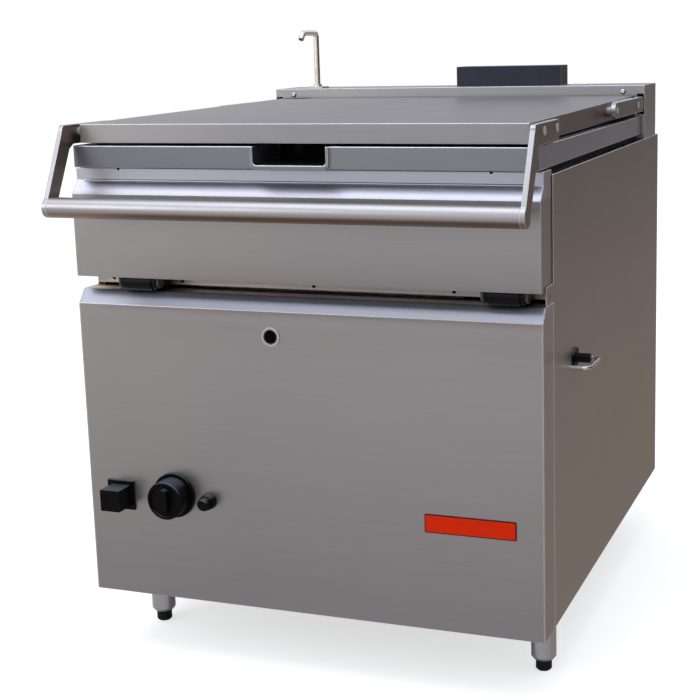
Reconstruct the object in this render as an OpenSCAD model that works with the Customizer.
// Tilting bratt pan: a gas-heated pan that tips forward on two front bearings,
// with a hinged lid, a swivel filling tap and a crank-driven lift linkage.
// Millimetres. X runs across the front, Y from front to back, Z up from the floor.

/* [Cabinet] */
// Width over the two side panels
body_w = 800; // [780:2:840]
// Depth from the front face to the side panels' rear edge
body_d = 936; // [930:2:960]
// Height of the panels' lower edge above the floor
leg_h = 112; // [100:1:130]
// Height of the front panel's upright face
face_h = 504; // [490:2:530]
// Thickness of the folded sheet
sheet = 1.5; // [1.2:0.1:2]
// Open gap between the front panel and the pan's apron
gap_h = 24; // [22:0.5:28]

/* [Pan] */
// Space from the cabinet's side to the inside of the vessel
vessel_side = 70; // [66:1:90]
// Space from the pan jacket's rear to the inside of the vessel
vessel_rear = 75; // [60:1:110]
// Inside depth of the vessel
vessel_d = 200; // [185:1:202]
// Height of the rim band round the pan
rim_h = 35; // [32:0.5:45]
// Clear width of the pouring lip
spout_w = 124; // [90:2:150]

/* [Lid] */
// Height of the lid
lid_h = 30.5; // [28:0.5:38]
// Diameter of the handle tube
handle_d = 33; // [28:1:34]
// How far the handle tube stands in front of the front panel
handle_out = 74; // [66:1:90]

/* [Drive] */
// Length of the lift lever, centre to centre
lever_l = 150; // [140:1:156]
// Distance of the crank stub behind the pan's pivot
link_y = 179; // [174:1:186]
// Distance of the crank stub below the pan's pivot
link_z = 131; // [126:1:136]
// Diameter of the pan's pivot pins
pivot_d = 16; // [14:0.5:18]

/* [Fittings] */
// Height of the tap's arch above the rear housing
tap_h = 123; // [100:1:140]
// Diameter of the tap's tube
tap_d = 12; // [10:0.5:14]
// Diameter of the control knob
knob_d = 65; // [50:1:68]
// Length of the flue hood
flue_w = 220; // [210:5:260]

/* [Hidden] */
$fn = 48;

// Colours
steel = "#8c8884";
bright = "#b9b9bd";
dark = "#343640";
black = "#151414";
brass = "#b08d48";

// Overrun of a cut past the face it leaves
over = 1;
// Clearance between faces that only rest together
seat = 0.3;
// Radial running clearance of a pin in its bore
run = 0.05;

// Heights of the cabinet front, from the floor up
bevel_h = 22;
bevel_d = 18.5;
apron_face_h = 137.5;
apron_slope_h = 20.5;
apron_slope_d = 17;
apron_neck_h = 20.5;
rim_drop = 2.5;
side_gap = 10;
lid_gap = 4;
housing_rise = 25.5;
z_bottom = leg_h;
z_face = z_bottom + face_h;
z_top = z_face + bevel_h;
z_apron = z_top + gap_h;
z_slope = z_apron + apron_face_h;
z_neck = z_slope + apron_slope_h;
z_apron_top = z_neck + apron_neck_h;
z_rim = z_apron_top + rim_drop;
z_deck = z_rim + rim_h;
z_lid = z_deck + lid_gap;
z_lid_top = z_lid + lid_h;
z_side = z_rim - side_gap;
z_housing = z_lid_top + housing_rise;

// Half widths, from the middle of the cabinet
apron_inset = 2;
rim_inset = 7;
jacket_inset = 14;
lid_inset = 20;
housing_inset = 1;
x_body = body_w / 2;
x_apron = x_body - apron_inset;
x_rim = x_body - rim_inset;
x_jacket = x_body - jacket_inset;
x_lid = x_body - lid_inset;
x_housing = x_body - housing_inset;
x_vessel = x_body - vessel_side;

// Depths, from the front panel's face
apron_proud = 2;
rim_proud = 5.5;
front_return = 60;
seam = 2;
housing_setback = 142;
housing_d = 117;
rear_gap = 4;
jacket_rear = 15;
vessel_y0 = 90;
lid_front = 6;
lid_rear = 10;
y_side = front_return + seam;
y_housing = body_d - housing_setback;
y_housing_rear = y_housing + housing_d;
y_rim = y_housing - rear_gap;
y_jacket = y_rim - jacket_rear;
y_lid = y_rim - lid_rear;
y_vessel = y_jacket - vessel_rear;

// Vessel build-up
wall = 3;
base_t = 12;
vessel_r = 40;
z_floor = z_deck - vessel_d;
z_vessel = z_floor - wall;
z_base = z_vessel - base_t;

// Frame of angle bar
angle_w = 40;
angle_t = 3;
rail_z = z_top - sheet;
x_frame = x_body - sheet;
y_rail = bevel_d + apron_proud;
y_frame = body_d - sheet;

// Pan pivot
pivot_y = 16;
pivot_rise = 16;
pivot_z = z_top + pivot_rise;
pivot_r = pivot_d / 2;
nose_r = 15;
eye_r = 13;
eye_gap = 1;
lug_t = 6;
block_l = 50;
block_left_in = 112;
block_right_in = 62;
block_left_x = block_left_in - x_body;
block_right_x = x_body - block_right_in;
block_xs = [block_left_x, block_right_x];
block_front = bevel_d + 2 * apron_proud + sheet;
block_back = front_return - over;
block_base_h = 12;
block_bolt_r = 5;
block_bolt_head_r = 7;
block_bolt_head_h = 7;
block_bolt_in = 9;
pin_head_r = 11;
pin_head_h = 5;
sill_rise = 4;
sill_lap = 20;
tongue_y = 20;
tongue_lap = 6;

// Cradle under the pan
cradle_rise = 4;
cradle_z = z_top + cradle_rise;
bar_w = 40;
bar_t = 3;
cradle_front_y = vessel_y0 + 5;
cradle_rear_y = y_vessel - bar_w;
link_in = 130;
link_x = x_body - link_in;
cradle_bar_in = 80;
cradle_bar_x = link_x - cradle_bar_in;
cradle_edge = 2;
x_cradle = x_jacket - cradle_edge;
rest_r = 12;
rest_x = x_cradle - rest_r;

// Lift linkage: lever, link and pan form a parallelogram
stub_y = pivot_y + link_y;
stub_z = pivot_z - link_z;
link_plate_t = 7.5;
link_eye_r = 13;
link_drop = 8;
link_bar = 10;
link_pin_r = 7;
link_pin_head_r = 10;
link_pin_head_h = 4;
lever_t = 12;
lever_reach = sqrt(lever_l * lever_l - link_drop * link_drop);
pan_eye = [pivot_y + lever_reach, pivot_z - link_drop];
lever_eye = [stub_y + lever_reach, stub_z - link_drop];
lever_boss_r = 24;
lever_boss_l = 30;
link_gap = 0.5;
shaft_r = 12;
box_r = 52;
box_l = 46;
shaft_deep = 15;
box_flange_r = 68;
box_flange_t = 8;
box_boss_r = 20;
box_boss_l = 10;
box_bolt_r = 4;
box_bolt_pcr = 60;
bolt_angles = [45, 135, 225, 315];
box_x = link_x + lever_t / 2 + lever_boss_l;
box_x1 = box_x + box_l;
stub_r = 8;
stub_af_r = 8;
stub_out = 27;
bush_r = 14;
bush_flange_r = 17;
bush_proud = 4;
guard_r = 3.5;
guard_out = 34;
guard_half_l = 38;
guard_drop = 8;
guard_bend = 12;

// Lid hinge
hinge_in = 14;
hinge_drop = 10.5;
hinge_y = y_rim - hinge_in;
hinge_z = z_lid_top - hinge_drop;
hinge_r = 14;
hinge_pin_r = 6;
arm_inset = 2;
arm_t = 8;
x_arm = x_body - arm_inset;
x_arm_in = x_arm - arm_t;
hinge_l = 242;
hinge_front = hinge_y - hinge_l;
hinge_bar_start = 48;
hinge_bar_end = 46;
lug_plate_t = 6;
lug_clear = 0.5;

// Lid handle
handle_r = handle_d / 2;
handle_drop = 97;
handle_y = -handle_out;
handle_z = z_lid - handle_drop;
tube_wall = 2;
arm_top_y = -30;
arm_rear_y = 108;
arm_bar_h = 31.5;
arm_corner_r = 8;
arm_foot_r = 13.5;
arm_w = 30;
knee_cut = 8;
arm_bolt_y1 = 19;
arm_bolt_y2 = 94;
arm_bolts_y = [arm_bolt_y1, arm_bolt_y2];
arm_bolt_drop = 12;
bolt_r = 4;
bolt_head_r = 7;
bolt_head_h = 5;

// Lid sheet
lid_rise = 6;
lid_flange = 14;
lid_liner_z = 8;
buffer_r = 8;
buffer_in = 6;
buffer_y1 = 60;
buffers_y = [buffer_y1, y_vessel - buffer_y1];

// Control panel on the left of the front
switch_side = 60;
switch_rise = 175;
switch_x = switch_side - x_body;
switch_z = z_bottom + switch_rise;
switch_w = 50;
switch_t = 4;
switch_block_w = 40;
switch_out = 40;
switch_travel = 3;
switch_deep = 26;
knob_side = 162;
knob_rise = 183;
knob_x = knob_side - x_body;
knob_z = z_bottom + knob_rise;
dial_r = 38;
dial_t = 6;
knob_gap = 0.6;
knob_body_l = 30;
knob_chamfer = 2;
knob_lip = 5;
knob_dish = 3;
grip_w = 17;
grip_l = 42;
grip_r = 8;
grip_out = 8;
stem_r = 4;
igniter_side = 226;
igniter_rise = 178;
igniter_x = igniter_side - x_body;
igniter_z = z_bottom + igniter_rise;
igniter_r = 14;
igniter_tip_r = 12.5;
igniter_t = 14;
button_r = 10.5;
button_cone = 3;
button_out = 12;
button_travel = 4;
igniter_body_l = 34;
port_x = -48;
port_drop = 41;
port_z = z_face - port_drop;
port_r = 12.5;
port_ring_r = 15.5;
port_proud = 2;
port_tube_l = 22;

// Gas way
valve_w = 44;
valve_neck_r = 15;
valve_l = 58;
valve_y = 22;
pipe_r = 9;
manifold_y = 104;
manifold_r = 13;
burner_r = 19;
burner_count = 4;
box_in = 162;
box_half_w = x_body - box_in;
burner_in = 88;
burner_x = box_half_w - burner_in;
burner_drop = 103;
burner_z = z_base - burner_drop;
burner_y0 = 150;
burner_rear = 10;
burner_y1 = y_vessel - burner_rear;
burner_slot_w = 3;
burner_slot_count = 14;
gas_in_side = 100;
gas_in_rise = 98;
gas_in_x = gas_in_side - x_body;
gas_in_z = z_bottom + gas_in_rise;
inlet_out = 24;
gas_in_r = 13.2;
gas_bore_r = 10;

// Combustion box and flue
box_y0 = 118;
box_rear = 26;
box_y1 = y_housing - box_rear;
box_foot = 60;
box_z0 = burner_z - box_foot;
box_clear = 8;
duct_w = 180;
duct_h = 56;
duct_in = 283;
duct_x = x_body - duct_in;
duct_drop = 8;
duct_z = burner_z - duct_drop;
duct_d = 48;
hood_h = 40;
hood_d = 66;
hood_side = 29;
hood_x0 = duct_x - duct_w / 2 - hood_side;
hood_in = 40;
hood_y0 = y_housing + hood_in;
duct_y0 = hood_y0 + sheet;

// Tap
tap_side = 75;
tap_in = 55;
tap_x = tap_side - x_body;
tap_y = y_housing + tap_in;
tap_r = tap_d / 2;
tap_run = 63;
tap_bend = 9;
tap_turn = 50;
tap_tip_l = 13;
tap_plate_r = 26;
tap_plate_t = 3;
tap_collar_r = 9;
tap_collar_h = 5;
tap_nut_r = 16;
tap_nut_h = 8;
tap_tail_l = 30;
water_side = 200;
water_rise = 62;
water_x = water_side - x_body;
water_z = z_top + water_rise;
water_r = 8;
water_in_r = 10.5;
water_bore_r = 7;

// Legs
leg_front_in = 41;
leg_front_x = x_body - leg_front_in;
leg_front_y = 145;
leg_rear_in = 90;
leg_rear_x = x_body - leg_rear_in;
leg_rear_back = 146;
leg_rear_y = body_d - leg_rear_back;
sleeve_r = 21;
sleeve_end_r = 17;
sleeve_lift = 20;
sleeve_chamfer = 5;
sleeve_neck_r = 17;
foot_r = 13.5;
foot_bevel = 3;
foot_stem_r = 8;
foot_stem_l = 62;
foot_bore_clear = 0.1;

// The origin lies under the middle of the whole object, on the floor
x_right = x_body + max(guard_out + guard_r, stub_out);
y_front = handle_y - handle_r;
y_rear = body_d + inlet_out;
mid_x = (x_right - x_body) / 2;
mid_y = (y_front + y_rear) / 2;
module placed() {
  translate([-mid_x, -mid_y, 0]) children();
}

// A block between two corners
module block(lo, hi) {
  translate(lo) cube(hi - lo);
}
// An outline in depth and height, run along the width from x0 to x1
module along_x(x0, x1) {
  translate([x0, 0, 0]) rotate([90, 0, 90]) linear_extrude(x1 - x0) children();
}
// An outline in width and height, run along the depth from y0 to y1
module along_y(y0, y1) {
  translate([0, y1, 0]) rotate([90, 0, 0]) linear_extrude(y1 - y0) children();
}
module rod_x(x0, x1, y, z, r) {
  translate([x0, y, z]) rotate([0, 90, 0]) cylinder(h = x1 - x0, r = r);
}
module rod_y(y0, y1, x, z, r) {
  translate([x, y0, z]) rotate([-90, 0, 0]) cylinder(h = y1 - y0, r = r);
}
module rod_z(z0, z1, x, y, r) {
  translate([x, y, z0]) cylinder(h = z1 - z0, r = r);
}
// A rectangle with round corners between two corners
module round_rect(lo, hi, r) {
  translate(lo + [r, 0]) square(hi - lo - [2 * r, 0]);
  translate(lo + [0, r]) square(hi - lo - [0, 2 * r]);
  for (x = [lo[0] + r, hi[0] - r], y = [lo[1] + r, hi[1] - r]) {
    translate([x, y]) circle(r);
  }
}
// A flat link with round ends and a bar of its own half height, in depth and height
module link_outline(a, b, r, bar) {
  d = b - a;
  l = norm(d);
  translate(a) circle(r);
  translate(b) circle(r);
  translate(a) rotate(atan2(d[1], d[0])) translate([0, -bar]) square([l, 2 * bar]);
}
// Both sides of the cabinet
module both_sides() {
  children();
  mirror([1, 0, 0]) children();
}

// Angle bars: the flat flange is at z, the upright one hangs at the outer edge
module angle_x(x0, x1, y_out, y_in, z) {
  up = y_out < y_in ? 1 : -1;
  block([x0, min(y_out, y_in), z - angle_t], [x1, max(y_out, y_in), z]);
  y0 = up > 0 ? y_out : y_out - angle_t;
  block([x0, y0, z - angle_w], [x1, y0 + angle_t, z]);
}
module angle_y(y0, y1, x_out, x_in, z) {
  block([min(x_out, x_in), y0, z - angle_t], [max(x_out, x_in), y1, z]);
  x0 = x_out > 0 ? x_out - angle_t : x_out;
  block([x0, y0, z - angle_w], [x0 + angle_t, y1, z]);
}
module post(x, y, z0, z1, sx, sy) {
  block([min(x, x - sx * angle_w), min(y, y + sy * angle_t), z0],
        [max(x, x - sx * angle_w), max(y, y + sy * angle_t), z1]);
  block([min(x, x - sx * angle_t), min(y, y + sy * angle_w), z0],
        [max(x, x - sx * angle_t), max(y, y + sy * angle_w), z1]);
}

// Welded frame of angle bar that carries legs, bearings and panels
module base_frame() color(steel) placed() {
  z0 = z_bottom + sheet + angle_w;
  x_in = x_frame - angle_w;
  angle_x(-x_frame, x_frame, y_rail + angle_w, y_rail, rail_z);
  angle_x(-x_frame, x_frame, y_frame, y_frame - angle_w, rail_z);
  angle_x(-x_frame, x_frame, y_side + sheet, y_side + sheet + angle_w, z0);
  angle_x(-x_frame, x_frame, y_frame, y_frame - angle_w, z0);
  for (s = [-1, 1]) {
    angle_y(y_rail, y_frame, s * x_frame, s * x_in, rail_z);
    angle_y(y_side + sheet, y_frame, s * x_frame, s * x_in, z0);
    post(s * x_frame, y_side + sheet, z_bottom + sheet, rail_z, s, 1);
    post(s * x_frame, y_frame, z_bottom + sheet, z_side - sheet, s, -1);
  }
  // Cross members over the legs
  for (y = [leg_front_y, leg_rear_y]) {
    block([-x_frame, y - sleeve_r, z0 - angle_t], [x_frame, y + sleeve_r + angle_t, z0]);
    block([-x_frame, y + sleeve_r, z0 - angle_w], [x_frame, y + sleeve_r + angle_t, z0]);
  }
}

module floor_panel() color(steel) placed() difference() {
  block([-x_frame, sheet, z_bottom], [x_frame, y_frame, z_bottom + sheet]);
  for (s = [-1, 1]) {
    rod_z(z_bottom - over, z_bottom + sheet + over, s * leg_front_x, leg_front_y, sleeve_neck_r + run);
    rod_z(z_bottom - over, z_bottom + sheet + over, s * leg_rear_x, leg_rear_y, sleeve_neck_r + run);
  }
}

module front_outline(y1) {
  polygon([[0, z_bottom], [0, z_face], [bevel_d, z_top], [y1, z_top], [y1, z_bottom]]);
}
// Folded front between the cheeks: upright face, bevel, and flat top cut out at the bearings
module front_panel() color(steel) placed() difference() {
  along_x(-x_frame, x_frame) difference() {
    front_outline(front_return);
    translate([sheet, -sheet]) front_outline(front_return + over);
  }
  half = block_l / 2 + seat;
  for (x = block_xs) {
    block([x - half, y_rail, rail_z - over], [x + half, front_return + over, z_top + over]);
  }
  rod_y(-over, sheet + over, port_x, port_z, port_r);
  rod_y(-over, sheet + over, knob_x, knob_z, stem_r + over);
  rod_y(-over, sheet + over, igniter_x, igniter_z, button_r + over + run);
  hole = switch_block_w / 2 + seat;
  block([switch_x - hole, -over, switch_z - hole], [switch_x + hole, sheet + over, switch_z + hole]);
}

// Cheeks welded to both ends of the front
module front_cheeks() color(steel) placed() both_sides() {
  along_x(x_frame, x_body) front_outline(front_return);
}

// Folded side panel with top and front flanges, and a tongue beside the gap under the apron
module side_sheet() difference() {
  lip = jacket_inset - seam;
  union() {
    block([x_frame, y_side, z_bottom], [x_body, body_d, z_side]);
    block([x_frame, tongue_y, z_top + seat], [x_body, y_side + over, z_apron + tongue_lap]);
    block([x_body - lip, y_side, z_bottom + sheet], [x_body, y_side + sheet, z_side]);
    block([x_body - lip, y_side, z_side - sheet], [x_body, body_d, z_side]);
  }
  block([x_body - lip - over, y_side - over, rail_z - angle_w], [x_frame, y_side + sheet + over, rail_z]);
}
module side_panel_left() color(steel) placed() mirror([1, 0, 0]) side_sheet();
module side_panel_right() color(steel) placed() difference() {
  side_sheet();
  rod_x(x_frame - over, x_body + over, stub_y, stub_z, bush_r + run);
}

module back_panel() color(steel) placed() difference() {
  x1 = x_body - jacket_inset + seam;
  union() {
    block([-x_frame, y_frame, z_bottom + sheet], [x_frame, body_d, z_side - sheet]);
    block([-x1, y_frame, z_side - 2 * sheet], [x1, body_d, z_side]);
    block([-x1, y_housing_rear - 2 * seam, z_side - sheet], [x1, body_d, z_side]);
  }
  rod_y(y_frame - over, body_d + over, gas_in_x, gas_in_z, pipe_r + run);
  rod_y(y_frame - over, body_d + over, water_x, water_z, water_r + run);
}

// Rear housing: folded box, open below, with slots for the lid's hinge arms
slot_w = 14;
slot_h = 41;
slot_drop = 17;
slot_z = z_housing - slot_drop;
module rear_housing() color(steel) placed() difference() {
  z0 = rail_z + seat;
  union() {
    difference() {
      block([-x_housing, y_housing, z_side], [x_housing, y_housing_rear, z_housing]);
      block([sheet - x_housing, y_housing + sheet, z_side - over],
            [x_housing - sheet, y_housing_rear - sheet, z_housing - sheet]);
    }
    block([-x_jacket, y_housing, z0], [x_jacket, y_housing + sheet, z_side + over]);
  }
  both_sides() block([x_housing - sheet - slot_w, y_housing - over, slot_z - slot_h],
                     [x_housing - sheet, y_housing + sheet + over, slot_z]);
  block([duct_x - duct_w / 2, duct_y0, z_housing - 2 * sheet],
        [duct_x + duct_w / 2, duct_y0 + duct_d, z_housing + over]);
  rod_z(z_housing - 2 * sheet, z_housing + over, tap_x, tap_y, tap_collar_r);
}

// Cap over the flue, open to the rear
module flue_hood() color(dark) placed() difference() {
  block([hood_x0, hood_y0, z_housing], [hood_x0 + flue_w, hood_y0 + hood_d, z_housing + hood_h]);
  block([hood_x0 + sheet, hood_y0 + sheet, z_housing - over],
        [hood_x0 + flue_w - sheet, hood_y0 + hood_d + over, z_housing + hood_h - sheet]);
}

// Flue: back from the combustion box, then up to the hood
module flue_duct() color(steel) placed() {
  x0 = duct_x - duct_w / 2;
  x1 = duct_x + duct_w / 2;
  y1 = duct_y0 + duct_d;
  difference() {
    union() {
      block([x0, box_y1, duct_z], [x1, y1, duct_z + duct_h]);
      block([x0, duct_y0, duct_z], [x1, y1, z_housing]);
    }
    block([x0 + sheet, box_y1 - over, duct_z + sheet], [x1 - sheet, y1 - sheet, duct_z + duct_h - sheet]);
    block([x0 + sheet, duct_y0 + sheet, duct_z + sheet], [x1 - sheet, y1 - sheet, z_housing + over]);
  }
}

// Open-topped tray round the burners
module combustion_box() color(steel) placed() difference() {
  z1 = cradle_z - box_clear;
  x1 = box_half_w;
  block([-x1, box_y0, box_z0], [x1, box_y1, z1]);
  block([sheet - x1, box_y0 + sheet, box_z0 + sheet], [x1 - sheet, box_y1 - sheet, z1 + over]);
  block([duct_x - duct_w / 2 + sheet, box_y1 - 2 * sheet, duct_z + sheet],
        [duct_x + duct_w / 2 - sheet, box_y1 + over, duct_z + duct_h - sheet]);
  for (x = burner_xs) {
    rod_y(box_y0 - over, box_y0 + 2 * sheet, x, burner_z, manifold_r);
  }
}
burner_xs = [for (i = [0 : burner_count - 1]) 2 * i * burner_x / (burner_count - 1) - burner_x];

// Atmospheric burner tubes, each with a mixer mouth and a row of flame slots
module burner_tubes() color(bright) placed() {
  pitch = (burner_y1 - burner_y0) / (burner_slot_count + 1);
  for (x = burner_xs) difference() {
    union() {
      rod_y(burner_y0, burner_y1, x, burner_z, burner_r);
      rod_y(box_y0 - sheet, burner_y0 + over, x, burner_z, manifold_r - seat);
      block([x - burner_r, burner_y1 - angle_t, box_z0 + sheet], [x + burner_r, burner_y1, burner_z]);
      block([x - burner_r, burner_y0, box_z0 + sheet], [x + burner_r, burner_y0 + angle_t, burner_z]);
    }
    rod_y(burner_y0 + 2 * sheet, burner_y1 - 2 * sheet, x, burner_z, burner_r - sheet);
    rod_y(box_y0 - 2 * sheet, burner_y0 + 2 * sheet + over, x, burner_z, manifold_r - 2 * sheet);
    for (i = [1 : burner_slot_count]) {
      y = burner_y0 + i * pitch;
      block([x - burner_r / 2, y, burner_z], [x + burner_r / 2, y + burner_slot_w, burner_z + burner_r + over]);
    }
  }
}

// Gas manifold across the mixer mouths, with one injector each
module gas_manifold() color(brass) placed() {
  rod_x(knob_x, burner_xs[burner_count - 1] + manifold_r, manifold_y - manifold_r, burner_z, pipe_r);
  for (x = burner_xs) {
    rod_y(manifold_y - manifold_r, box_y0 - 2 * sheet, x, burner_z, stem_r);
  }
  rod_z(knob_z + valve_w / 2, burner_z, knob_x, manifold_y - manifold_r, pipe_r);
  translate([knob_x, manifold_y - manifold_r, burner_z]) sphere(pipe_r);
  rod_y(valve_y + valve_l, manifold_y - manifold_r, knob_x, knob_z, pipe_r);
  rod_z(knob_z, knob_z + valve_w / 2 + over, knob_x, manifold_y - manifold_r, pipe_r);
  translate([knob_x, manifold_y - manifold_r, knob_z]) sphere(pipe_r);
}

// Gas supply from the rear inlet to the valve
module gas_pipe() color(brass) placed() difference() {
  union() {
    rod_y(valve_y + valve_l / 2, body_d + over, gas_in_x, gas_in_z, pipe_r);
    rod_y(body_d, body_d + inlet_out, gas_in_x, gas_in_z, gas_in_r);
    translate([gas_in_x, valve_y + valve_l / 2, gas_in_z]) sphere(pipe_r);
    rod_x(gas_in_x, knob_x, valve_y + valve_l / 2, gas_in_z, pipe_r);
    translate([knob_x, valve_y + valve_l / 2, gas_in_z]) sphere(pipe_r);
    rod_z(gas_in_z, knob_z - valve_w / 2, knob_x, valve_y + valve_l / 2, pipe_r);
  }
  rod_y(body_d + sheet, body_d + inlet_out + over, gas_in_x, gas_in_z, gas_bore_r);
}

module gas_valve() color(brass) placed() difference() {
  union() {
    block([knob_x - valve_w / 2, valve_y, knob_z - valve_w / 2],
          [knob_x + valve_w / 2, valve_y + valve_l, knob_z + valve_w / 2]);
    rod_y(sheet, valve_y + over, knob_x, knob_z, valve_neck_r);
  }
  rod_y(sheet - over, valve_y + valve_l / 2, knob_x, knob_z, stem_r + run);
}

// Ringed observation port in the front panel
module sight_port() color(bright) placed() difference() {
  union() {
    rod_y(-port_proud, 0, port_x, port_z, port_ring_r);
    rod_y(-over, port_tube_l, port_x, port_z, port_r);
  }
  rod_y(-port_proud - over, port_tube_l - sheet, port_x, port_z, port_r - sheet);
}

module switch_plate() color(black) placed() difference() {
  w = switch_w / 2;
  hole = switch_block_w / 2 + seat;
  union() {
    block([switch_x - w, -switch_t, switch_z - w], [switch_x + w, 0, switch_z + w]);
    block([switch_x - hole - sheet, sheet, switch_z - hole - sheet],
          [switch_x + hole + sheet, switch_deep, switch_z + hole + sheet]);
    block([switch_x - hole, -over, switch_z - hole], [switch_x + hole, 2 * sheet, switch_z + hole]);
  }
  deep = switch_deep - sheet;
  block([switch_x - hole + sheet, -switch_t - over, switch_z - hole + sheet],
        [switch_x + hole - sheet, deep, switch_z + hole - sheet]);
}
module switch_button() color(black) placed() {
  w = switch_block_w / 2 - sheet - seat / 2;
  d = switch_deep - sheet - switch_travel - seat;
  along_y(-switch_out, d) round_rect([switch_x - w, switch_z - w], [switch_x + w, switch_z + w], sheet);
}

module dial_plate() color(black) placed() difference() {
  rod_y(-dial_t, 0, knob_x, knob_z, dial_r);
  rod_y(-dial_t - over, over, knob_x, knob_z, stem_r + over);
}
// Control knob: round body with a dished face and an upright grip bar
module control_knob() color(black) placed() difference() {
  y1 = -dial_t - knob_gap;
  y0 = y1 - knob_body_l;
  r = knob_d / 2;
  union() {
    difference() {
      union() {
        rod_y(y0 + knob_chamfer, y1, knob_x, knob_z, r);
        translate([knob_x, y0, knob_z]) rotate([-90, 0, 0])
          cylinder(h = knob_chamfer, r1 = r - knob_chamfer, r2 = r);
      }
      rod_y(y0 - over, y0 + knob_dish, knob_x, knob_z, r - knob_lip);
    }
    along_y(y0 - grip_out, y0 + knob_dish + over) round_rect(
      [knob_x - grip_w / 2, knob_z - grip_l / 2], [knob_x + grip_w / 2, knob_z + grip_l / 2], grip_r);
  }
  rod_y(y0 + knob_gap, over, knob_x, knob_z, stem_r);
}
module valve_stem() color(brass) placed() {
  rod_y(-dial_t - knob_body_l, valve_y + valve_l / 2 - seat, knob_x, knob_z, stem_r);
}

module igniter_socket() color(black) placed() difference() {
  union() {
    translate([igniter_x, -igniter_t, igniter_z]) rotate([-90, 0, 0])
      cylinder(h = igniter_t, r1 = igniter_tip_r, r2 = igniter_r);
    rod_y(-over, igniter_body_l, igniter_x, igniter_z, button_r + over);
  }
  rod_y(-igniter_t - over, igniter_body_l - sheet, igniter_x, igniter_z, button_r + run);
}
module igniter_button() color(black) placed() {
  y1 = igniter_body_l - sheet - button_travel - seat;
  y0 = -igniter_t - button_out;
  rod_y(y0 + button_cone, y1, igniter_x, igniter_z, button_r);
  translate([igniter_x, y0, igniter_z]) rotate([-90, 0, 0])
    cylinder(h = button_cone, r1 = button_r - button_cone, r2 = button_r);
}

// Plain bearing block: round nose about the pivot, foot on the front rail
module block_outline() {
  translate([pivot_y, pivot_z]) circle(nose_r);
  polygon([
    [pivot_y, pivot_z - nose_r], [block_front - sheet, pivot_z - nose_r], [block_front, rail_z],
    [block_back, rail_z], [block_back, rail_z + block_base_h],
    [pivot_y + nose_r, pivot_z + nose_r / 2], [pivot_y, pivot_z + nose_r]
  ]);
}
module bearing_block(x) difference() {
  along_x(x - block_l / 2, x + block_l / 2) block_outline();
  rod_x(x - block_l / 2 - over, x + block_l / 2 + over, pivot_y, pivot_z, pivot_r + run);
  for (dx = [block_bolt_in - block_l / 2, block_l / 2 - block_bolt_in]) {
    rod_z(rail_z - over, pivot_z, x + dx, block_bolt_y, block_bolt_r + seat);
    block([x + dx - block_bolt_in - over, block_bolt_y - block_bolt_head_r - over, rail_z + block_base_h],
          [x + dx + block_bolt_in + over, block_back + over, pivot_z + nose_r + over]);
  }
}
block_bolt_y = block_back - block_bolt_in;
module bearing_block_left() color(black) placed() bearing_block(block_left_x);
module bearing_block_right() color(black) placed() bearing_block(block_right_x);
module bearing_bolts() color(bright) placed() {
  for (x = block_xs, dx = [block_bolt_in - block_l / 2, block_l / 2 - block_bolt_in]) {
    z = rail_z + block_base_h;
    translate([x + dx, block_bolt_y, z]) cylinder(h = block_bolt_head_h, r = block_bolt_head_r, $fn = 6);
    rod_z(rail_z, z + over, x + dx, block_bolt_y, block_bolt_r);
  }
}

// Rubber rests under the rear of the pan
module pan_rests() color(black) placed() {
  for (s = [-1, 1]) {
    rod_z(rail_z, cradle_z - seat, s * rest_x, cradle_rear_y + bar_w / 2, rest_r);
  }
}

// Closed reduction gearbox that turns the lift lever
module gearbox() color(dark) placed() difference() {
  union() {
    rod_x(box_x, box_x1, stub_y, stub_z, box_r);
    rod_x(box_x1 - box_flange_t, box_x1, stub_y, stub_z, box_flange_r);
    rod_x(box_x - box_boss_l, box_x + over, stub_y, stub_z, box_boss_r);
    rod_x(box_x1 - over, box_x1 + box_boss_l, stub_y, stub_z, box_boss_r);
  }
  rod_x(box_x - box_boss_l - over, box_x + shaft_deep, stub_y, stub_z, shaft_r + run);
  rod_x(box_x1 - shaft_deep, box_x1 + box_boss_l + over, stub_y, stub_z, stub_r + run);
  for (a = bolt_angles) {
    translate([box_x1 - box_flange_t - over, stub_y + box_bolt_pcr * cos(a), stub_z + box_bolt_pcr * sin(a)])
      rotate([0, 90, 0]) cylinder(h = box_flange_t + 2 * over, r = box_bolt_r);
  }
}
// Plate that hangs the gearbox from the side rail
bracket_t = 6;
bracket_side = 14;
module gearbox_bracket() color(steel) placed() {
  z1 = rail_z - angle_t;
  y0 = stub_y - box_flange_r - bracket_side;
  y1 = stub_y + box_flange_r + bracket_side;
  x0 = box_x1;
  difference() {
    union() {
      block([x0, y0, stub_z - box_flange_r - bracket_side], [x0 + bracket_t, y1, z1]);
      block([x0, y0, z1 - bracket_t], [x_frame - angle_t, y1, z1]);
    }
    rod_x(x0 - over, x0 + bracket_t + over, stub_y, stub_z, box_boss_r + run);
  }
  for (a = bolt_angles) {
    y = stub_y + box_bolt_pcr * cos(a);
    z = stub_z + box_bolt_pcr * sin(a);
    rod_x(x0 - box_flange_t, x0 + over, y, z, box_bolt_r - seat);
    translate([x0 - box_flange_t - bolt_head_h, y, z]) rotate([0, 90, 0])
      cylinder(h = bolt_head_h, r = bolt_head_r, $fn = 6);
  }
}

module stub_bush() color(black) placed() difference() {
  union() {
    rod_x(x_frame - box_boss_l, x_body + over, stub_y, stub_z, bush_r);
    rod_x(x_body, x_body + bush_proud, stub_y, stub_z, bush_flange_r);
  }
  rod_x(x_frame - box_boss_l - over, x_body + bush_proud + over, stub_y, stub_z, stub_r + run);
}
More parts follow.
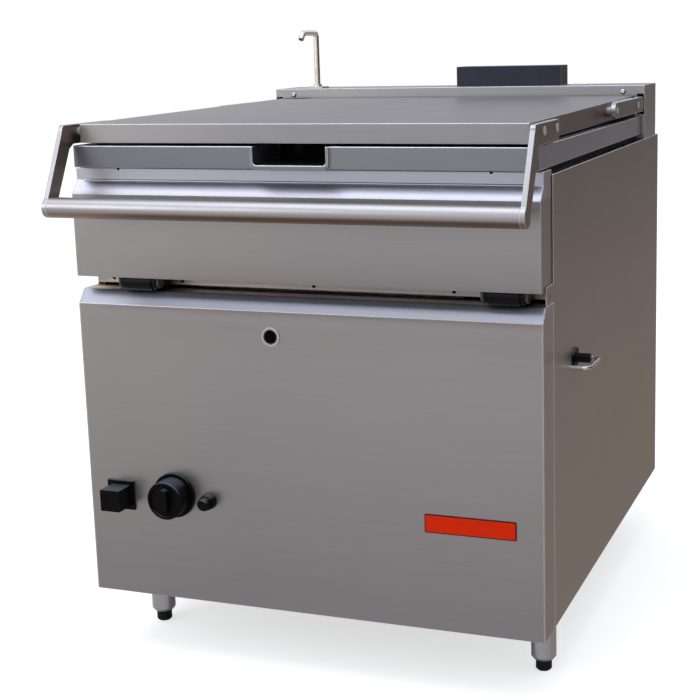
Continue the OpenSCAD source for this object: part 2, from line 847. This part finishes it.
// Input shaft of the gearbox with a hexagonal end for the loose crank
module crank_stub() color(bright) placed() {
  rod_x(box_x1 - shaft_deep + seat, x_body + bush_proud + over, stub_y, stub_z, stub_r);
  translate([x_body + bush_proud, stub_y, stub_z]) rotate([0, 90, 0])
    cylinder(h = stub_out - bush_proud, r = stub_af_r, $fn = 6);
}

// Bent rod that guards the crank stub
module crank_guard() color(bright) placed() {
  z = stub_z - guard_drop;
  x1 = x_body + guard_out;
  for (s = [-1, 1]) {
    rod_x(x_body, x1 - guard_bend, stub_y + s * guard_half_l, z, guard_r);
    translate([x1 - guard_bend, stub_y + s * (guard_half_l - guard_bend), z])
      rotate(s > 0 ? 0 : -90) rotate_extrude(angle = 90) translate([guard_bend, 0]) circle(guard_r);
  }
  rod_y(stub_y - guard_half_l + guard_bend, stub_y + guard_half_l - guard_bend, x1, z, guard_r);
}

// Lift lever on the gearbox's output shaft
module lift_lever() color(bright) placed() difference() {
  union() {
    along_x(link_x - lever_t / 2, link_x + lever_t / 2)
      link_outline([stub_y, stub_z], lever_eye, link_eye_r, link_bar);
    rod_x(link_x - lever_t / 2, box_x - box_boss_l - seat, stub_y, stub_z, lever_boss_r);
    rod_x(link_x, box_x + shaft_deep - seat, stub_y, stub_z, shaft_r);
  }
  rod_x(link_x - lever_t, link_x + lever_t, lever_eye[0], lever_eye[1], link_pin_r + run);
}
// Twin side plates of the link that carries the lever's motion to the pan
module lift_link() color(bright) placed() {
  a = pan_eye;
  b = lever_eye;
  inner = lever_t / 2 + link_gap;
  for (x = [link_x - inner - link_plate_t, link_x + inner]) difference() {
    along_x(x, x + link_plate_t) link_outline(a, b, link_eye_r, link_bar);
    rod_x(x - over, x + link_plate_t + over, a[0], a[1], link_pin_r);
    rod_x(x - over, x + link_plate_t + over, b[0], b[1], link_pin_r);
  }
}
module link_pins() color(bright) placed() {
  half = lever_t / 2 + link_gap + link_plate_t;
  for (p = [pan_eye, lever_eye]) {
    rod_x(link_x - half - link_pin_head_h, link_x - half, p[0], p[1], link_pin_head_r);
    rod_x(link_x - half - over, link_x + half + link_pin_head_h, p[0], p[1], link_pin_r);
  }
}

// Legs: tubes with a chamfered end, each with an adjustable foot
module sleeve(x, y) translate([x, y, 0]) difference() {
  union() {
    translate([0, 0, sleeve_lift + sleeve_chamfer])
      cylinder(h = z_bottom - sleeve_lift - sleeve_chamfer, r = sleeve_r);
    translate([0, 0, sleeve_lift]) cylinder(h = sleeve_chamfer, r1 = sleeve_end_r, r2 = sleeve_r);
    translate([0, 0, z_bottom - over])
      cylinder(h = over + sheet + angle_w - angle_t, r = sleeve_neck_r);
  }
  translate([0, 0, sleeve_lift - over])
    cylinder(h = foot_stem_l + 2 * over, r = foot_stem_r + foot_bore_clear);
}
module leg_sleeves() color(bright) placed() {
  for (s = [-1, 1]) {
    sleeve(s * leg_front_x, leg_front_y);
    sleeve(s * leg_rear_x, leg_rear_y);
  }
}
module foot(x, y) color(black) placed() translate([x, y, 0]) {
  cylinder(h = foot_bevel, r1 = foot_r - foot_bevel, r2 = foot_r);
  translate([0, 0, foot_bevel]) cylinder(h = sleeve_lift - foot_bevel - seat, r = foot_r);
  translate([0, 0, foot_bevel]) cylinder(h = sleeve_lift - foot_bevel + foot_stem_l - over, r = foot_stem_r);
}
module foot_front_left() foot(-leg_front_x, leg_front_y);
module foot_front_right() foot(leg_front_x, leg_front_y);
module foot_rear_left() foot(-leg_rear_x, leg_rear_y);
module foot_rear_right() foot(leg_rear_x, leg_rear_y);

// Tap: eight-sided base plate, collar and swivel spout
module tap_base() color(bright) placed() translate([tap_x, tap_y, 0]) difference() {
  union() {
    translate([0, 0, z_housing]) cylinder(h = tap_plate_t, r = tap_plate_r, $fn = 8);
    translate([0, 0, z_housing]) cylinder(h = tap_plate_t + tap_collar_h, r = tap_collar_r);
    translate([0, 0, z_housing - sheet - tap_nut_h]) cylinder(h = tap_nut_h, r = tap_nut_r, $fn = 6);
    translate([0, 0, z_housing - tap_tail_l]) cylinder(h = tap_tail_l + over, r = tap_collar_r - seat);
  }
  translate([0, 0, z_housing - tap_tail_l + tap_plate_t])
    cylinder(h = tap_tail_l + tap_plate_t + tap_collar_h + over, r = tap_r + run);
}
module tap_spout() color(bright) placed() translate([tap_x, tap_y, 0]) difference() {
  z0 = z_housing - tap_tail_l + tap_plate_t + seat;
  z1 = z_housing + tap_h - tap_r - tap_bend;
  union() {
    translate([0, 0, z0]) cylinder(h = z1 - z0, r = tap_r);
    translate([0, -tap_bend, z1]) rotate([90, 0, 90]) tap_arc(90);
    rod_y(-tap_run, -tap_bend, 0, z1 + tap_bend, tap_r);
    translate([0, -tap_run, z1]) rotate([90, 0, 90]) {
      rotate(90) tap_arc(tap_turn);
      tap_tip(0, tap_r);
    }
  }
  translate([0, 0, z0 - over]) cylinder(h = z1 - z0, r = tap_r - sheet);
  translate([0, -tap_run, z1]) rotate([90, 0, 90]) tap_tip(over, tap_r - sheet);
}
module tap_arc(turn) rotate_extrude(angle = turn) translate([tap_bend, 0]) circle(tap_r);
module tap_tip(along, r) {
  rotate(90 + tap_turn) translate([tap_bend, along]) rotate([-90, 0, 0]) cylinder(h = tap_tip_l, r = r);
}
// Water supply from the rear inlet to the tap
module water_pipe() color(brass) placed() difference() {
  union() {
    rod_y(tap_y, body_d + over, water_x, water_z, water_r);
    rod_y(body_d, body_d + inlet_out, water_x, water_z, water_in_r);
    translate([water_x, tap_y, water_z]) sphere(water_r);
    rod_x(tap_x, water_x, tap_y, water_z, water_r);
    translate([tap_x, tap_y, water_z]) sphere(water_r);
    rod_z(water_z, z_housing - tap_tail_l, tap_x, tap_y, water_r);
  }
  rod_y(body_d + sheet, body_d + inlet_out + over, water_x, water_z, water_bore_r);
}

// Vessel: welded tub with round upright corners and a notch for the pouring lip
module vessel() color(bright) placed() difference() {
  x = x_vessel;
  translate([0, 0, z_vessel]) linear_extrude(z_deck - sheet - z_vessel)
    round_rect([-x - wall, vessel_y0 - wall], [x + wall, y_vessel + wall], vessel_r + wall);
  translate([0, 0, z_floor]) linear_extrude(vessel_d)
    round_rect([-x, vessel_y0], [x, y_vessel], vessel_r);
  block([-spout_w / 2, vessel_y0 - wall - over, z_spout_rear],
        [spout_w / 2, vessel_y0 + wall, z_deck]);
}
module base_plate() color(dark) placed() {
  x = x_vessel;
  translate([0, 0, z_base]) linear_extrude(base_t)
    round_rect([-x, vessel_y0], [x, y_vessel], vessel_r);
}

// Rim: deck round the vessel with a folded band outside
rim_r = 12;
module pan_rim() color(bright) placed() difference() {
  x = x_vessel;
  y0 = -rim_proud;
  translate([0, 0, z_rim]) linear_extrude(rim_h) round_rect([-x_rim, y0], [x_rim, y_rim], rim_r);
  translate([0, 0, z_rim - over]) linear_extrude(rim_h - sheet + over)
    round_rect([sheet - x_rim, y0 + sheet], [x_rim - sheet, y_rim - sheet], rim_r - sheet);
  translate([0, 0, z_rim]) linear_extrude(rim_h + over)
    round_rect([-x, vessel_y0], [x, y_vessel], vessel_r);
  block([-spout_w / 2 - sheet, y0 - over, z_spout - sheet],
        [spout_w / 2 + sheet, vessel_y0 + over, z_deck + over]);
}

// Pouring lip: sloped channel with a raised collar at its mouth
spout_rise = 6;
spout_slope = 4;
collar_w = 4;
collar_t = 4;
collar_r = 10;
z_spout = z_rim + spout_rise;
z_spout_rear = z_spout + spout_slope;
module pouring_lip() color(bright) placed() {
  x = spout_w / 2;
  y0 = -rim_proud;
  y1 = vessel_y0 - wall;
  along_x(-x - sheet, x + sheet) polygon([
    [y0, z_spout - sheet], [y0, z_spout], [y1, z_spout_rear], [y1, z_spout_rear - sheet]]);
  both_sides() along_x(x, x + sheet) polygon([
    [y0, z_spout - sheet], [y0, z_deck], [y1, z_deck], [y1, z_spout_rear - sheet]]);
  along_y(y0 - collar_t, y0) difference() {
    union() {
      round_rect([-x - collar_w, z_rim - sheet], [x + collar_w, z_deck], collar_r);
      translate([-x - collar_w, z_deck - 2 * collar_r]) square([2 * x + 2 * collar_w, 2 * collar_r]);
    }
    round_rect([-x, z_spout], [x, z_deck + 2 * collar_r], collar_r - collar_w);
  }
}

// Apron: folded front skin of the pan
module apron_outline(y1) {
  polygon([
    [-apron_proud, z_apron], [-apron_proud, z_slope], [apron_slope_d - apron_proud, z_neck],
    [apron_slope_d - apron_proud, z_apron_top], [y1, z_apron_top], [y1, z_apron]
  ]);
}
module apron() color(steel) placed() {
  difference() {
    along_x(-x_apron, x_apron) apron_outline(front_return);
    along_x(sheet - x_apron, x_apron - sheet) translate([sheet, -sheet]) apron_outline(front_return + over);
  }
  // Sill plate that closes the gap behind the bearings
  difference() {
    block([-x_apron, front_return - sheet, z_top + sill_rise], [x_apron, front_return, z_apron + sill_lap]);
    half = block_l / 2 + eye_gap + lug_t + seat;
    for (x = block_xs) {
      block([x - half, front_return - sheet - over, z_top], [x + half, front_return + over, z_apron + seat]);
    }
  }
}

// Jacket round the vessel, inside the side panels
module pan_jacket() color(steel) placed() difference() {
  z1 = z_deck - sheet;
  block([-x_jacket, front_return, z_apron], [x_jacket, y_jacket, z1]);
  block([sheet - x_jacket, front_return + sheet, z_apron - over],
        [x_jacket - sheet, y_jacket - sheet, z1 + over]);
  block([-spout_w / 2 - sheet, front_return - over, z_spout - sheet],
        [spout_w / 2 + sheet, front_return + 2 * sheet, z1 + over]);
}

// Cradle: channel bars under the base plate, pivot lugs and the link's lug
module channel_outline(h) {
  difference() {
    square([bar_w, h]);
    translate([bar_t, -over]) square([bar_w - 2 * bar_t, h - bar_t + over]);
  }
}
module pan_cradle() color(steel) placed() {
  h = z_base - cradle_z;
  for (y = [cradle_front_y, cradle_rear_y]) {
    along_x(-x_cradle, x_cradle) translate([y, cradle_z]) channel_outline(h);
  }
  for (x = [-cradle_bar_x - bar_w, cradle_bar_x]) {
    along_y(cradle_front_y + bar_w, cradle_rear_y) translate([x, cradle_z]) channel_outline(h);
  }
  for (x = block_xs, dx = [-block_l / 2 - eye_gap - lug_t, block_l / 2 + eye_gap]) difference() {
    along_x(x + dx, x + dx + lug_t) {
      translate([pivot_y, pivot_z]) circle(eye_r);
      polygon([
        [pivot_y, pivot_z - eye_r], [cradle_front_y, pivot_z - eye_r],
        [cradle_front_y, z_apron - sheet], [front_return - over, z_apron - sheet], [pivot_y, pivot_z + eye_r]
      ]);
    }
    rod_x(x + dx - over, x + dx + lug_t + over, pivot_y, pivot_z, pivot_r);
  }
  difference() {
    y = pan_eye[0];
    z = pan_eye[1];
    along_x(link_x - lever_t / 2, link_x + lever_t / 2) {
      translate([y, z]) circle(link_eye_r);
      polygon([
        [cradle_front_y + bar_w, cradle_z], [y, z - link_eye_r],
        [y + link_eye_r, z], [y + link_eye_r, z_base], [cradle_front_y + bar_w, z_base]
      ]);
    }
    rod_x(link_x - lever_t, link_x + lever_t, y, z, link_pin_r + run);
  }
}
module pivot_pins() color(bright) placed() {
  half = block_l / 2 + eye_gap + lug_t;
  for (x = block_xs) {
    rod_x(x - half, x + half, pivot_y, pivot_z, pivot_r);
    for (end = [x - half - pin_head_h, x + half]) {
      translate([end, pivot_y, pivot_z]) rotate([0, 90, 0])
        cylinder(h = pin_head_h, r = pin_head_r, $fn = 6);
    }
  }
}

// Lugs with pins that carry the lid's hinge arms
module hinge_lugs() color(bright) placed() both_sides() {
  x0 = x_arm_in - lug_clear - lug_plate_t;
  along_x(x0, x0 + lug_plate_t) {
    translate([hinge_y, hinge_z]) circle(hinge_r);
    translate([hinge_y - hinge_r, z_deck]) square([2 * hinge_r, hinge_z - z_deck]);
  }
  rod_x(x0, x_arm, hinge_y, hinge_z, hinge_pin_r);
}
module lid_buffers() color(black) placed() {
  for (s = [-1, 1], y = buffers_y) {
    rod_z(z_deck, z_lid - seat, s * (x_lid - buffer_in), y, buffer_r);
  }
}

// Lid: folded tray, open below, with a flange round its lower edge
module lid_outline() {
  polygon([[lid_front, z_lid], [y_lid, z_lid], [y_lid, z_lid_top + lid_rise], [lid_front, z_lid_top]]);
}
module lid_shell() color(bright) placed() difference() {
  along_x(-x_lid, x_lid) lid_outline();
  along_x(sheet - x_lid, x_lid - sheet) intersection() {
    translate([0, -sheet]) lid_outline();
    translate([lid_front + sheet, z_lid + sheet])
      square([y_lid - lid_front - 2 * sheet, lid_h + lid_rise]);
  }
  block([lid_flange - x_lid, lid_front + lid_flange, z_lid - over],
        [x_lid - lid_flange, y_lid - lid_flange, z_lid + 2 * sheet]);
}
// Inner skin of the lid
module lid_liner() color(bright) placed() {
  x = x_lid - sheet;
  z = z_lid + lid_liner_z;
  block([-x, lid_front + sheet, z], [x, y_lid - sheet, z + sheet]);
}

// Handle tube between the arms
module handle_tube() color(bright) placed() difference() {
  rod_x(-x_arm_in, x_arm_in, handle_y, handle_z, handle_r);
  rod_x(-x_arm_in - over, x_arm_in + over, handle_y, handle_z, handle_r - tube_wall);
}
// Flat arms that carry the handle in front of the lid
module arm_outline() {
  z0 = z_lid_top - arm_bar_h;
  foot = [handle_y, handle_z];
  top = [arm_top_y, z_lid_top - arm_corner_r];
  across = [top[1] - foot[1], foot[0] - top[0]] / norm(top - foot) * arm_foot_r;
  front = (top - foot + across) / norm(top - foot + across);
  knee = [top[0] - (top[1] - z0) * front[0] / front[1] + arm_w / front[1], z0];
  rear = (knee - foot - across) / norm(knee - foot - across);
  translate(foot) circle(handle_r);
  translate(top + [arm_corner_r, 0]) circle(arm_corner_r);
  polygon([
    foot - across, top, [arm_top_y + arm_corner_r, z_lid_top], [arm_rear_y, z_lid_top],
    [arm_rear_y, z0], knee + [knee_cut, 0], knee - rear * knee_cut, foot + across
  ]);
}
module handle_arms() color(bright) placed() both_sides() difference() {
  along_x(x_arm_in, x_arm) arm_outline();
  for (y = arm_bolts_y) {
    rod_x(x_arm_in - over, x_arm + over, y, arm_bolt_z, bolt_r);
  }
}
arm_bolt_z = z_lid_top - arm_bolt_drop;

// Hexagon bolts with spacers between the lid's side and the arms
module lid_bolt(y, z) {
  rod_x(x_lid, x_arm, y, z, bolt_r);
  translate([x_arm, y, z]) rotate([0, 90, 0]) cylinder(h = arm_inset, r = bolt_head_r, $fn = 6);
}
module lid_bolts() color(bright) placed() both_sides() {
  for (y = arm_bolts_y) {
    lid_bolt(y, arm_bolt_z);
    rod_x(x_lid, x_arm_in, y, arm_bolt_z, bolt_head_r);
  }
  lid_bolt(hinge_front, hinge_z);
  rod_x(x_lid, x_arm_in, hinge_front, hinge_z, bolt_head_r);
  lid_bolt(hinge_y - hinge_bar_end, hinge_z);
}

// Hinge arms: round-ended plates from the lid's sides to the rear pivots
module hinge_arms() color(bright) placed() both_sides() difference() {
  along_x(x_arm_in, x_arm) link_outline([hinge_front, hinge_z], [hinge_y, hinge_z], hinge_r, hinge_r);
  rod_x(x_arm_in - over, x_arm + over, hinge_y, hinge_z, hinge_pin_r + run);
  rod_x(x_arm_in - over, x_arm + over, hinge_front, hinge_z, bolt_r);
  rod_x(x_arm_in - over, x_arm + over, hinge_y - hinge_bar_end, hinge_z, bolt_r);
}
// Bars between the hinge arms and the lid's sides
module hinge_bars() color(bright) placed() both_sides() difference() {
  bar_r = hinge_r - seat;
  along_x(x_lid, x_arm_in)
    link_outline([hinge_front + hinge_bar_start, hinge_z], [hinge_y - hinge_bar_end, hinge_z], bar_r, bar_r);
  rod_x(x_lid - over, x_arm_in + over, hinge_y - hinge_bar_end, hinge_z, bolt_r);
}

base_frame();
floor_panel();
front_panel();
front_cheeks();
side_panel_left();
side_panel_right();
back_panel();
rear_housing();
flue_hood();
flue_duct();
combustion_box();
burner_tubes();
gas_manifold();
gas_pipe();
gas_valve();
sight_port();
switch_plate();
switch_button();
dial_plate();
control_knob();
valve_stem();
igniter_socket();
igniter_button();
bearing_block_left();
bearing_block_right();
bearing_bolts();
pan_rests();
gearbox();
gearbox_bracket();
stub_bush();
crank_guard();
crank_stub();
lift_lever();
lift_link();
link_pins();
leg_sleeves();
foot_front_left();
foot_front_right();
foot_rear_left();
foot_rear_right();
tap_base();
tap_spout();
water_pipe();
vessel();
base_plate();
pan_rim();
pouring_lip();
apron();
pan_jacket();
pan_cradle();
pivot_pins();
hinge_lugs();
lid_buffers();
lid_shell();
lid_liner();
handle_tube();
handle_arms();
lid_bolts();
hinge_arms();
hinge_bars();
